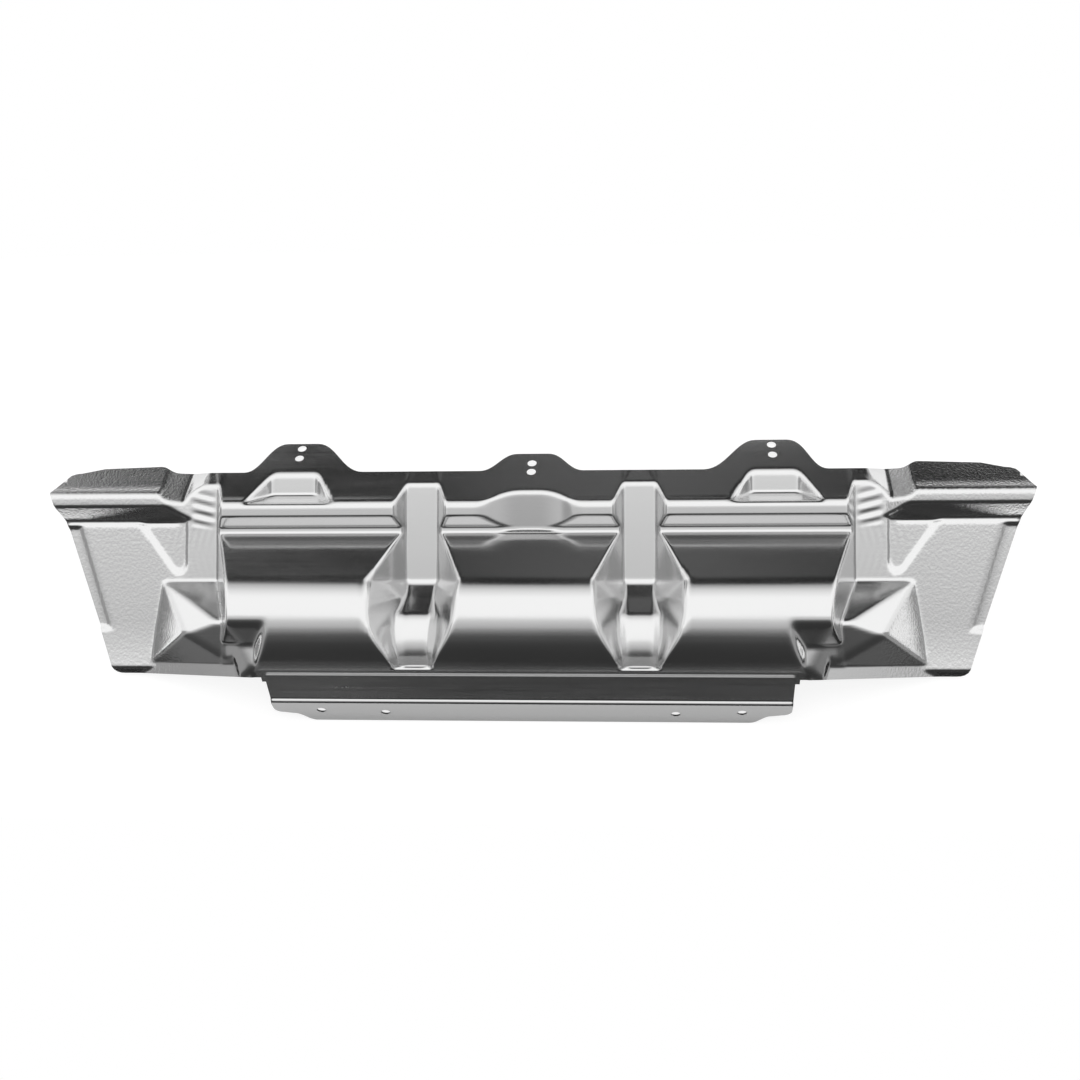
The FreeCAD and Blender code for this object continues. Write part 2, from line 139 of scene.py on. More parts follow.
class ShieldSizes(bpy.types.PropertyGroup):
    sheet: bpy.props.FloatProperty(
        name="Sheet", description="Thickness of the drawn sheet", default=0.001, unit="LENGTH")
    strip_sheet: bpy.props.FloatProperty(
        name="Strip sheet", description="Thickness of the folded strip", default=0.0015, unit="LENGTH")
    hole_radius: bpy.props.FloatProperty(
        name="Hole radius", description="Radius of the bolt holes", default=0.0042, unit="LENGTH")
    rib_place: bpy.props.FloatProperty(
        name="Rib place", description="Distance of each rib from the middle", default=0.0981, unit="LENGTH")
    tab_place: bpy.props.FloatProperty(
        name="Tab place", description="Distance of each side tab from the middle", default=0.2187,
        unit="LENGTH")


class ShieldFinish(bpy.types.PropertyGroup):
    sheet_colour: bpy.props.FloatVectorProperty(
        name="Sheet colour", description="Reflection colour of the drawn sheet", subtype="COLOR",
        default=(0.67, 0.67, 0.67), min=0.0, max=1.0)
    strip_colour: bpy.props.FloatVectorProperty(
        name="Strip colour", description="Reflection colour of the folded strip", subtype="COLOR",
        default=(0.62, 0.62, 0.62), min=0.0, max=1.0)
    roughness: bpy.props.FloatProperty(
        name="Roughness", description="Mean roughness of the bright sheet", default=0.17, min=0.0, max=1.0,
        subtype="FACTOR")


def down(angle):
    """Direction in (Y, Z) down a face whose normal leans `angle` degrees from Z towards Y."""
    return -math.cos(math.radians(angle)), math.sin(math.radians(angle))


def moved(point, direction, distance):
    """The point at a distance from another, in (Y, Z)."""
    return point[0] + distance * direction[0], point[1] + distance * direction[1]


def crossing(point_a, dir_a, point_b, dir_b):
    """Where two lines in (Y, Z) meet."""
    cross = dir_a[0] * dir_b[1] - dir_a[1] * dir_b[0]
    dy, dz = point_b[0] - point_a[0], point_b[1] - point_a[1]
    return moved(point_a, dir_a, (dy * dir_b[1] - dz * dir_b[0]) / cross)


def bent_line(corners, steps=24):
    """Points of a bent sheet line through (y, z, bend radius) corners, in their order."""
    points = [corners[0][:2]]
    for (y0, z0, _), (y1, z1, radius), (y2, z2, _) in zip(corners, corners[1:], corners[2:]):
        a = np.array((y1 - y0, z1 - z0)) / math.hypot(y1 - y0, z1 - z0)
        b = np.array((y2 - y1, z2 - z1)) / math.hypot(y2 - y1, z2 - z1)
        turn = math.atan2(a[0] * b[1] - a[1] * b[0], a @ b)
        start = np.array((y1, z1)) - a * radius * math.tan(abs(turn) / 2)
        arm = np.array((-a[1], a[0])) * math.copysign(radius, turn)
        centre = start + arm
        for k in range(steps + 1):
            c, s = math.cos(turn * k / steps), math.sin(turn * k / steps)
            points.append((centre[0] - c * arm[0] + s * arm[1], centre[1] - s * arm[0] - c * arm[1]))
    points.append(corners[-1][:2])
    return np.array(points)


def by_y(line):
    """Points of a line in order of their y."""
    return line[np.argsort(line[:, 0])]


def trough_corners():
    """Corners of the trough's section: flange, ridge, step, valley, wall, crown, the flank's foot and lap."""
    fold_back, edge_back, knee_height = 7.9, 9.7, 11.0
    start = (START_Y, FLANGE_SUM - START_Y)
    ridge = crossing(start, down(FLANGE_TILT), VALLEY, down(STEP_TILT))
    fold = moved(ridge, down(FLANGE_TILT), -fold_back)
    brow = crossing(fold, down(BROW_TILT), VALLEY, down(STEP_TILT))
    edge = moved(fold, down(FLANGE_TILT), -edge_back)
    top = crossing(edge, down(EDGE_TILT), fold, down(BROW_TILT))
    base = crossing((0.0, VALLEY_FLOOR), down(0.0), VALLEY, down(STEP_TILT))
    rise = crossing((0.0, VALLEY_FLOOR), down(0.0), VALLEY, down(KNEE_TILT))
    knee = (VALLEY[0] - knee_height / math.tan(math.radians(KNEE_TILT)), VALLEY[1] + knee_height)
    centre_z = CREST - CROWN_RADIUS
    wall, flank = math.radians(WALL_TILT), math.radians(FLANK_TILT)
    reach = VALLEY[0] * math.sin(wall) + VALLEY[1] * math.cos(wall)
    centre_y = (reach - CROWN_RADIUS - centre_z * math.cos(wall)) / math.sin(wall)
    flank_point = (centre_y - CROWN_RADIUS * math.sin(flank), centre_z + CROWN_RADIUS * math.cos(flank))
    crown = crossing(VALLEY, down(WALL_TILT), flank_point, down(-FLANK_TILT))
    foot = crossing(flank_point, down(-FLANK_TILT), (FOOT_Y, 0), (0, 1))
    lap_end = moved(foot, down(-LAP_TILT), RUN_OUT)
    return [start + (0,), edge + (4.0,), top + (10.0,), brow + (2.0,), base + (1.6,), rise + (4.0,),
            knee + (8.0,), crown + (CROWN_RADIUS + 0.7,), foot + (4.0,), lap_end + (0,)]


def lip_corners():
    """Corners of the lip along the lower edge."""
    lip = (LIP_Y, 0)
    return [lip + (3.0,), moved(lip, down(-LIP_TILT), RUN_OUT) + (0,)]


def rib_corners():
    """Line of a rib's floor from below the flat part: a ramp in two slopes, a crease and a rounded crest."""
    ramp_y, bend_y, crease_y = 8.0, -4.0, -20.0
    slow, steep, over = 41.0, 47.0, 33.0
    rise_radius, fall_radius = 50.0, 34.0
    run_in, run_out = 45.0, 40.0
    sine, cosine = math.sin(math.radians(over)), math.cos(math.radians(over))
    bend = (bend_y, (ramp_y - bend_y) * math.tan(math.radians(slow)))
    crease = (crease_y, bend[1] + (bend_y - crease_y) * math.tan(math.radians(steep)))
    crest = (crease_y - rise_radius * sine, crease[1] + rise_radius * (1 - cosine))
    low = (crest[0] - fall_radius * sine, crest[1] - fall_radius * (1 - cosine))
    back = crossing(crease, down(over), crest, (-1.0, 0.0))
    fall = crossing(crest, (-1.0, 0.0), low, down(-over))
    return [moved(bend, down(slow), -run_in) + (0,), bend + (9.0,), crease + (3.0,),
            back + (rise_radius - 0.5,), fall + (fall_radius - 0.5,), moved(low, down(-over), run_out) + (0,)]


TROUGH = by_y(bent_line(trough_corners()))
FLOOR = by_y(bent_line([(START_Y, FLANGE_SUM - START_Y, 0), (FLANGE_SUM, 0, 5.0)] + lip_corners()))
END = by_y(bent_line([(START_Y, END_FLANGE_SUM - START_Y, 0), (96.0, 5.0, 4.0), (88.3, 14.5, 7.5),
                      (77.9, 14.1, 1.6), (50.0, -19.0, 5.0), (-150.0, -19.0, 0)]))
RIB = by_y(bent_line(rib_corners()))


def level(line, y):
    """Height of a line at y."""
    return np.interp(y, line[:, 0], line[:, 1])


def soft_max(a, b, k):
    """The higher of two heights, rounded where they come within k of each other."""
    h = np.clip(0.5 + 0.5 * (a - b) / k, 0, 1)
    return b * (1 - h) + a * h + k * h * (1 - h)


def soft_min(a, b, k):
    """The lower of two heights, rounded in the same way."""
    return -soft_max(-a, -b, k)


def plane(a, b, c):
    """Height over (x, y) of the plane through three points."""
    a, b, c = (np.array(p, float) for p in (a, b, c))
    n = np.cross(b - a, c - a)
    return lambda x, y: a[2] - (n[0] * (x - a[0]) + n[1] * (y - a[1])) / n[2]


# Faces of the buttress
ROOF = plane(TIP, APEX, BACK)
REAR = plane(TIP, (0.0, TIP[1], 0.0), BACK)
CHEEK = plane(APEX, BACK, INNER)
SIDE = plane(OUTER, APEX, TIP)
FRONT = plane(OUTER, APEX, INNER)
LEDGE = plane(OUTER, INNER, (OUTER[0], OUTER[1] + 10, 0.0))


def smooth_level(places, values, y):
    """Values along a line at y, with the bends between its stations smoothed."""
    return sum(np.interp(y + shift, places, values) for shift in (-6, -3, 0, 3, 6)) / 5


def ramp(value, width):
    """Rises from 0 to 1 over a width."""
    return np.clip(value / width, 0, 1)


def band(value, place, half):
    """1 over most of a band, falling to 0 at its sides."""
    return np.clip(1 - np.abs((value - place) / half) ** 4, 0, 1)


def tongue(u, y):
    """Depth of the shallow tongue-shaped dish and of the draw wrinkles beside each end wall."""
    inner_u, low_y, slant_u, slant_y, dish_side, dish_depth = 314.5, 13.5, 327.7, 14.4, 4.5, 2.4
    slant = (u - slant_u) * 0.812 - (y - slant_y) * 0.582
    top = y - 74.0 - 0.2 * (u - 320)
    edge = soft_max(soft_max(inner_u - u, low_y - y, 14.0), soft_max(slant, top, 8.0), 6.0)
    dish = ramp(-edge, dish_side)
    depth = dish_depth * dish * dish * (3 - 2 * dish)
    ripple_u, ripple_depth, ripple_length, ripple_lean = 301.0, 0.42, 9.6, 0.25
    ripple = band(u, ripple_u, 12.0) * ramp(y - 56.0, 8.0) * ramp(95.0 - y, 6.0)
    phase = y - ripple_lean * (u - ripple_u)
    depth = depth + ripple_depth * ripple * np.sin(2 * math.pi * phase / ripple_length)
    wave_u, wave_depth, wave_length, sway, sway_run = 312.0, 0.10, 6.3, 2.2, 8.0
    wave = band(u, wave_u, 27.0) * ramp(y - 10.0, 8.0) * ramp(66.0 - y, 12.0)
    return depth + wave_depth * wave * np.sin(2 * math.pi * (u + sway * np.sin(y / sway_run)) / wave_length)


def rib_groove(u, y):
    """Groove of the ribs: straight over the ridge and the step, leaf-shaped across the trough."""
    leaf_y, neck_run, fillet_run, end_y, end_run = 8.0, 0.48, 1.7, -67.4, 0.05
    aside = np.abs(u - bpy.context.scene.shield_sizes.rib_place * 1000)
    floor = level(RIB, y)
    mouth, flat, run = (smooth_level(RIB_STATIONS[:, 0], RIB_STATIONS[:, k], y) for k in (1, 2, 3))
    wall = np.where(y > leaf_y, (aside - RIB_NECK) / neck_run, level(TROUGH, y) + (aside - mouth) / run)
    fillet = np.where(y > leaf_y, floor, floor + (aside - flat) / fillet_run)
    groove = soft_max(soft_max(floor, fillet, 1.5), wall, 3.0)
    return soft_max(groove, CREST - (y - end_y) / end_run, 0.6)


def middle_pad(u, y):
    """Gently rising pad that the middle of the ridge is cut down to."""
    half, side_run, pad_level, slope_y, slope, drop = 20.0, 1.75, 4.5, 58.0, 0.11, 3.0
    pad = soft_max(0 * u, (u - half) / side_run, 7.0) + pad_level + slope * np.maximum(0, y - slope_y)
    return np.maximum(pad, pad_level + drop * (VALLEY[0] - y))


def shoulder(u, y):
    """Lower shoulder at each end of the trough, and the height of the buttress's corner that meets it."""
    top, ramp_y, ramp_run, start, start_run = 50.0, -46.0, 1.07, 238.0, 0.75
    form = soft_max(top + (y - ramp_y) / ramp_run, top + (start - u) / start_run, 6.0)
    form = np.where(y < 0, soft_max(form, 0 * u + top, 1.5), FREE)
    cheek_u, cheek_rise, front_u, front_rise = 268.0, 0.35, 258.0, 2.0
    corner_u, corner_y = 236.0, -26.0
    cheek = CHEEK(u, y) + cheek_rise * np.maximum(0, cheek_u - u)
    front = FRONT(u, y) + front_rise * np.maximum(0, front_u - u)
    corner = np.minimum(cheek, front) + np.maximum(0, y - ramp_y) / ramp_run
    return form, np.where((y < corner_y) & (u > corner_u), corner, FREE)


def trough_form(u, y):
    """Trough with its end walls, cut by the ribs, the middle pad and the shoulders."""
    half, end_run = 287.5, 0.436
    form = soft_min(level(TROUGH, y), (half - u) / end_run, 4.0)
    form = soft_min(form, rib_groove(u, y), 5.0)
    form = soft_min(form, middle_pad(u, y), 3.0)
    lowered, corner = shoulder(u, y)
    return soft_min(soft_min(form, lowered, 5.0), corner, 3.0)


def buttress(u, y):
    """Four-sided buttress beside each end of the trough, on its ledge."""
    inner_u, outer_u, ledge_y, top_y = 240.0, 380.0, -55.0, 40.0
    form = ROOF(u, y)
    for face in (REAR, CHEEK, SIDE, FRONT):
        form = soft_min(form, face(u, y), 2.2)
    form = np.maximum(form, np.where(y < ledge_y, LEDGE(u, y), NOTHING))
    return np.where((u > inner_u) & (u < outer_u) & (y < top_y), form, NOTHING)


def dent(u, y):
    """V-shaped dent in the flange beside each end panel."""
    return FLANGE_SUM - y - DENT_DEPTH * np.clip(1 - np.abs(u - DENT_PLACE) / DENT_HALF, 0, 1)


def end_ridge(u, y):
    """Ridge and step along the top of each end panel."""
    start, start_run, dent_rise = 312.0, 1.42, 3.8
    form = soft_min(level(END, y), (u - start) / start_run, 3.0)
    limit = dent(u, y) + dent_rise * ramp(u - DENT_PLACE, DENT_HALF)
    return soft_min(form, np.where(u < DENT_PLACE + DENT_HALF, limit, FREE), 1.5)


def ground_form(u, y):
    """Flange, press plane and lower lip, with the soft marks of the draw on the end panels."""
    aside = np.abs(u - bpy.context.scene.shield_sizes.rib_place * 1000)
    form = level(FLOOR, y) - tongue(u, y)
    clear = 3.0
    apart = ramp(286.0 - u, 6.0) * ramp(aside - RIB_NECK, 4.0)
    form = np.minimum(form, FLANGE_SUM - y - clear * apart)
    dip_depth, dip_y, dip_half = 1.0, 63.6, 2.6
    form = form - dip_depth * np.exp(-((y - dip_y) / dip_half) ** 2) * ramp(u - 322.0, 8.0)
    curl, curl_y, curl_run, curl_end = 1.6, -28.0, 38.0, 42.0
    form = form + curl * (np.clip(curl_y - y, 0, curl_end) / curl_run) ** 2 * ramp(u - 300.0, 30.0)
    dent_u, dent_y = 299.0, 60.0
    return soft_min(form, np.where((u > dent_u) & (y > dent_y), dent(u, y), FREE), 2.0)


def tab_pocket(u, y):
    """Pocket pressed into the foot of each side tab."""
    bottom, half, side_run, back_y, back_run = -11.0, 21.0, 0.67, 87.5, 0.30
    aside = np.abs(u - bpy.context.scene.shield_sizes.tab_place * 1000)
    form = soft_max(0 * u + bottom, bottom + (aside - half) / side_run, 6.0)
    return soft_max(form, bottom - (y - back_y) / back_run, 6.0)


def panel_rim(u, y):
    """Lowered rim along the outer edge of each end panel."""
    depth, start_u, corner_u, top_y, low_y = 3.0, 360.0, 418.5, 58.0, -31.5
    side_rise, side_run, side_length = 89.5, 27.5, 93.6
    side = ((corner_u - u) * side_rise + (y - top_y) * side_run) / side_length
    form = np.maximum(np.maximum(side, y - top_y), low_y - y)
    return np.where(u > start_u, soft_max(0 * u - depth, -depth + form, 1.2), FREE)


def press_height(x, y):
    """Height of the sheet's convex face over the press plane."""
    u = np.abs(x)
    height = soft_max(ground_form(u, y), end_ridge(u, y), 1.5)
    height = soft_max(height, trough_form(u, y), 2.0)
    height = soft_max(height, buttress(u, y), 1.5)
    height = soft_min(height, tab_pocket(u, y), 3.5)
    return soft_min(height, panel_rim(u, y), 1.2)


def s_curve(a, b, flat_a, flat_b, steps=14):
    """Points of a smooth edge, level at both ends, without its last point."""
    t = np.linspace(0, 1, steps, endpoint=False)[:, None]
    a, b = np.array(a, float), np.array(b, float)
    p, q = a + (flat_a, 0), b - (flat_b, 0)
    return (1 - t) ** 3 * a + 3 * (1 - t) ** 2 * t * p + 3 * (1 - t) * t ** 2 * q + t ** 3 * b


def divided(points, step):
    """The closed outline with its long runs divided, so the sheet's edge can follow the form."""
    out = []
    for a, b in zip(points, np.roll(points, -1, axis=0)):
        n = max(1, int(math.ceil(np.hypot(*(b - a)) / step)))
        out += [a + (b - a) * k / n for k in range(n)]
    return np.array(out)


def blank_outline(tab):
    """Outline of the pressing in the press plane: one half, and the same mirrored."""
    lap_low = FOOT_Y - LAP_WIDTH * math.cos(math.radians(LAP_TILT))
    half = [[(0, 126.6)],
            s_curve((14.4, 126.6), (47.4, FLANGE_TOP), 14, 14),
            [(47.4, FLANGE_TOP)],
            s_curve((155.7, FLANGE_TOP), (tab - 14.2, 138.9), 20, 18),
            [(tab - 14.2, 138.9)],
            s_curve((tab + 14.2, 138.9), (266.7, FLANGE_TOP), 18, 16),
            [(266.7, FLANGE_TOP)],
            s_curve((328.6, FLANGE_TOP), (346.0, 115.9), 7, 7, 8),
            [(346.0, 115.9), (399.5, 114.0), (419.0, 109.7), (424.0, 109.2), (428.5, 107.6), (431.0, 104.7),
             (441.0, 90.6), (430.8, 64.5), (385.8, -68.4), (384.4, -71.6), (381.8, -73.8), (378.4, -74.8),
             (374.8, -75.0), (LAP_HALF, BOTTOM_Y), (LAP_HALF, lap_low)]]
    half = np.concatenate([np.array(part, float) for part in half])
    other = half[::-1] * (-1, 1)
    return divided(np.concatenate([half, other[:-1]]), step=2.6)


def ring(x, y, radius, squash=1.0, count=28):
    """Points round a hole, squashed in y where it lies on a tilted face."""
    angle = np.linspace(0, 2 * math.pi, count, endpoint=False)
    return np.stack([x + radius * np.cos(angle), y + radius * squash * np.sin(angle)], 1)


def lines(stops):
    """Grid positions between (position, spacing from there on) stops."""
    out = [stops[0][0]]
    for (a, gap), (b, _) in zip(stops, stops[1:]):
        n = max(1, round((b - a) / gap))
        out += [a + (b - a) * (k + 1) / n for k in range(n)]
    return np.array(out)


def inside(points, loop):
    """Which points lie inside a closed outline."""
    hit = np.zeros(len(points), bool)
    px, py = points[:, 0], points[:, 1]
    for (x1, y1), (x2, y2) in zip(loop, np.roll(loop, -1, axis=0)):
        if y1 != y2:
            hit ^= ((y1 > py) != (y2 > py)) & (px < (x2 - x1) * (py - y1) / (y2 - y1) + x1)
    return hit


def clearance(points, loop):
    """Distance of each point from a closed outline."""
    far, reach, shortest = 1e9, 8.0, 1e-9
    best = np.full(len(points), far)
    for a, b in zip(loop, np.roll(loop, -1, axis=0)):
        d = b - a
        near = np.abs(points[:, 0] - (a[0] + b[0]) / 2) < abs(d[0]) / 2 + reach
        p = points[near] - a
        t = np.clip(p @ d / max(d @ d, shortest), 0, 1)
        best[near] = np.minimum(best[near], np.hypot(*(p - t[:, None] * d).T))
    return best


def tiled(outline, holes, xs, ys):
    """Flat mesh of an outline with holes: a grid inside, and triangles from the grid to the edges."""
    margin, tolerance = 0.9, 1e-5
    gx, gy = np.meshgrid(xs, ys)
    grid = np.stack([gx.ravel(), gy.ravel()], 1)
    keep = inside(grid, outline) & (clearance(grid, outline) > margin)
    for hole in holes:
        keep &= ~inside(grid, hole) & (clearance(grid, hole) > margin)
    index = np.arange(len(grid)).reshape(len(ys), len(xs))
    cells = np.stack([index[:-1, :-1], index[:-1, 1:], index[1:, 1:], index[1:, :-1]], -1).reshape(-1, 4)
    cells = cells[keep[cells].all(1)]
    used = np.unique(cells)
    new = np.full(len(grid), -1)
    new[used] = np.arange(len(used))
    cells = new[cells]
    points = grid[used]
    sides = np.sort(cells[:, [0, 1, 1, 2, 2, 3, 3, 0]].reshape(-1, 2), axis=1)
    pairs, counts = np.unique(sides, axis=0, return_counts=True)
    border = pairs[counts == 1]
    rim = np.unique(border)
    place = {int(v): k for k, v in enumerate(rim)}
    flat = [Vector(points[v]) for v in rim]
    edges = [(place[int(a)], place[int(b)]) for a, b in border]
    for loop in [outline] + holes:
        first = len(flat)
        flat += [Vector(p) for p in loop]
        edges += [(first + k, first + (k + 1) % len(loop)) for k in range(len(loop))]
    verts, _, faces, source, _, _ = delaunay_2d_cdt(flat, edges, [], 0, tolerance)
    spot = np.array([v[:] for v in verts])
    faces = np.array([f for f in faces if len(f) == 3])
    centre = spot[faces].mean(1)
    good = inside(centre, outline)
    for hole in holes:
        good &= ~inside(centre, hole)
    column = np.clip(np.searchsorted(xs, centre[:, 0]) - 1, 0, len(xs) - 2)
    row = np.clip(np.searchsorted(ys, centre[:, 1]) - 1, 0, len(ys) - 2)
    filled = keep[index[row, column]] & keep[index[row, column + 1]]
    filled &= keep[index[row + 1, column]] & keep[index[row + 1, column + 1]]
    good &= ~filled
    ids = np.empty(len(spot), int)
    extra = []
    for k in range(len(spot)):
        origin = [s for s in source[k] if s < len(rim)]
        if origin:
            ids[k] = rim[origin[0]]
        else:
            ids[k] = len(points) + len(extra)
            extra.append(spot[k])
    triangles = ids[faces[good]]
    a, b, c = (np.concatenate([points, extra])[triangles[:, k]] for k in range(3))
    turned = np.cross(b - a, c - a) < 0
    triangles[turned] = triangles[turned][:, ::-1]
    return np.concatenate([points, extra]), [tuple(q) for q in cells] + [tuple(t) for t in triangles]


def sheet_mesh(name, flat, faces, face_points, back_points):
    """Closed sheet from its two skins, with hard edges round the outline and the holes."""
    count = len(flat)
    sides = {}
    for face in faces:
        for a, b in zip(face, face[1:] + face[:1]):
            sides[(a, b)] = face
    open_edges = [(a, b) for a, b in sides if (b, a) not in sides]
    back = [tuple(v + count for v in reversed(face)) for face in faces]
    wall = [(b, a, a + count, b + count) for a, b in open_edges]
    points = np.concatenate([face_points, back_points]) / 1000
    lean = math.radians(LEAN)
    y = points[:, 1] * math.cos(lean) - points[:, 2] * math.sin(lean) + SHIFT_Y / 1000
    z = points[:, 1] * math.sin(lean) + points[:, 2] * math.cos(lean) + SHIFT_Z / 1000
    points = np.stack([points[:, 0], y, z], 1)
    mesh = bpy.data.meshes.new(name)
    mesh.from_pydata(points.tolist(), [], [tuple(int(v) for v in f) for f in list(faces) + back + wall])
    mesh.validate()
    mesh.polygons.foreach_set("use_smooth", [True] * len(mesh.polygons))
    hard = set()
    for a, b in open_edges:
        hard.add((min(a, b), max(a, b)))
        hard.add((min(a, b) + count, max(a, b) + count))
    keys = np.zeros(len(mesh.edges) * 2, int)
    mesh.edges.foreach_get("vertices", keys)
    flags = [tuple(sorted(pair)) in hard for pair in keys.reshape(-1, 2).tolist()]
    mesh.attributes.new("sharp_edge", "BOOLEAN", "EDGE").data.foreach_set("value", flags)
    piece = bpy.data.objects.new(name, mesh)
    bpy.context.scene.collection.objects.link(piece)
    return piece


def skins(flat, surface, thickness):
    """Points of the outer and inner skin of a sheet over its flat layout."""
    step = 0.05
    x, y = flat[:, 0], flat[:, 1]
    outer = surface(x, y)
    along_x = surface(x + step, y) - surface(x - step, y)
    along_y = surface(x, y + step) - surface(x, y - step)
    normal = np.cross(along_x, along_y)
    normal /= np.linalg.norm(normal, axis=1)[:, None]
    return outer, outer - normal * thickness


def strip_line():
    """Inner line of the folded strip from its cut edge to its tip: distance along it, y and z."""
    points = [trough_corners()[-2][:2]]
    for reach, angle in ((STRIP_START, -LAP_TILT), (STRIP_LAP, -LAP_TILT), (STRIP_JOG, JOG_TILT),
                         (STRIP_FLANGE, -STRIP_TILT)):
        points.append(moved(points[-1], down(angle), reach))
    top, fold, jog, tip = points[1:]
    line = bent_line([top + (0,), fold + (2.5,), jog + (0.8,), tip + (0,)], steps=10)
    along = np.concatenate([[0.0], np.cumsum(np.hypot(*np.diff(line, axis=0).T))])
    return np.column_stack([along, line])


class SHIELD_OT_pressing(bpy.types.Operator):
    """Builds the drawn sheet with its ribs, pockets, tabs and buttresses"""
    bl_idname = "shield.pressing"
    bl_label = "Shield Pressing"

    def execute(self, context):
        sizes = context.scene.shield_sizes
        tab, radius = sizes.tab_place * 1000, sizes.hole_radius * 1000
        outline = blank_outline(tab)
        squash = math.cos(math.radians(FLANGE_TILT))
        holes = []
        for x, (y, apart) in ((0, MIDDLE_HOLES), (-tab, SIDE_HOLES), (tab, SIDE_HOLES)):
            holes += [ring(x, y + s * apart * squash, radius, squash) for s in (-1, 1)]
        half = lines([(0, 3.2), (12, 2.3), (62, 1.6), (134, 4.0), (188, 2.2), (250, 1.7), (352, 3.0),
                      (442, 1)])
        xs = np.concatenate([-half[:0:-1], half])
        ys = lines([(-80, 1.7), (-70, 1.1), (-60, 2.4), (2, 1.9), (40, 1.0), (74, 1.9), (112, 2.6), (140, 1)])
        flat, faces = tiled(outline, holes, xs, ys)

        def surface(x, y):
            return np.stack([x, y, press_height(x, y)], 1)

        outer, inner = skins(flat, surface, sizes.sheet * 1000)
        edge = open_points(faces)
        edge_height = sizes.sheet * 1000 * 1.2
        inner[edge, :2] = outer[edge, :2]
        inner[edge, 2] = outer[edge, 2] - edge_height
        piece = sheet_mesh("drawn_sheet", flat, faces, outer, inner)
        piece.data.materials.append(drawn_sheet_material(context))
        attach(piece, "root")
        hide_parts("shield_pressing")
        return {"FINISHED"}


def open_points(faces):
    """Points along the outline and round the holes."""
    sides = set()
    for face in faces:
        sides.update(zip(face, face[1:] + face[:1]))
    return np.array(sorted({v for a, b in sides if (b, a) not in sides for v in (a, b)}))


class SHIELD_OT_strip(bpy.types.Operator):
    """Builds the folded mounting strip on the lower edge"""
    bl_idname = "shield.strip"
    bl_label = "Mounting Strip"

    def execute(self, context):
        sizes = context.scene.shield_sizes
        thickness, radius = sizes.strip_sheet * 1000, sizes.hole_radius * 1000
        line = strip_line()
        width = line[-1, 0]
        jog = width - STRIP_FLANGE
        slope = (line[-1, 1:] - line[-2, 1:]) / (line[-1, 0] - line[-2, 0])

        def surface(x, s):
            """Inner face of the strip over its flat layout, where s is the distance from its cut edge."""
            past = np.maximum(s - width, 0)
            y = np.interp(s, line[:, 0], line[:, 1]) + past * slope[0]
            z = np.interp(s, line[:, 0], line[:, 2]) + past * slope[1]
            return np.stack([x, y, z], 1)

        corner_radius = 8.0
        ear_y = jog + EAR_DEPTH
        corner = ring(STRIP_HALF - corner_radius, ear_y - corner_radius, corner_radius, count=32)[:9]
        half = [[(0, 0), (STRIP_HALF, 0)], corner,
                s_curve((EAR_HALF + EAR_DEPTH, ear_y + 2), (EAR_HALF, width), -8, -8, 12),
                [(EAR_HALF, width), (0, width)]]
        half = np.concatenate([np.array(part, float) for part in half])
        outline = divided(np.concatenate([half, half[-2:0:-1] * (-1, 1)]), step=3.0)
        holes = [ring(side * x, jog + d, radius) for side in (-1, 1) for x, d in STRIP_HOLES]
        ys = lines([(0, 2.5), (jog - 9, 0.35), (jog + 3, 2.5), (width + 1, 1)])
        flat, faces = tiled(outline, holes, lines([(-STRIP_HALF - 1, 3.0), (STRIP_HALF + 1, 1)]), ys)
        inner, outer = skins(flat, surface, thickness)
        piece = sheet_mesh("folded_strip", flat, faces, inner, outer)
        piece.data.materials.append(folded_strip_material(context))
        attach(piece, "root")
        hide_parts("mounting_strip")
        return {"FINISHED"}


def node(tree, kind, **values):
    """Adds a node, with its settings and its unlinked inputs by name."""
    made = tree.nodes.new(kind)
    for key, value in values.items():
        if hasattr(made, key):
            setattr(made, key, value)
        else:
            made.inputs[key.replace("_", " ")].default_value = value
    return made


def maths(tree, operation, *terms):
    """Adds a maths node over links and plain numbers, and returns its result."""
    made = node(tree, "ShaderNodeMath", operation=operation)
    for socket, term in zip(made.inputs, terms):
        if isinstance(term, (int, float)):
            socket.default_value = term
        else:
            tree.links.new(term, socket)
    return made.outputs[0]


def mapped(tree, value, low, high, bottom=0.0, top=1.0, kind="SMOOTHSTEP"):
    """Adds a node that takes low..high to bottom..top, and returns its result."""
    made = node(tree, "ShaderNodeMapRange", interpolation_type=kind)
    for name, number in (("From Min", low), ("From Max", high), ("To Min", bottom), ("To Max", top)):
        made.inputs[name].default_value = number
    tree.links.new(value, made.inputs["Value"])
    return made.outputs["Result"]


def split_coordinate(tree, space):
    """Adds the X, Y and Z of a texture coordinate, and returns the node."""
    coord = node(tree, "ShaderNodeTexCoord")
    parts = node(tree, "ShaderNodeSeparateXYZ")
    tree.links.new(coord.outputs[space], parts.inputs[0])
    return parts


def two_faced(tree, mirrored, seen, output):
    """Gives the camera one shader and every other ray another."""
    path = node(tree, "ShaderNodeLightPath")
    mix = node(tree, "ShaderNodeMixShader")
    tree.links.new(path.outputs["Is Camera Ray"], mix.inputs["Fac"])
    tree.links.new(mirrored.outputs[0], mix.inputs[1])
    tree.links.new(seen.outputs[0], mix.inputs[2])
    out = node(tree, output)
    tree.links.new(mix.outputs[0], out.inputs["Surface"])


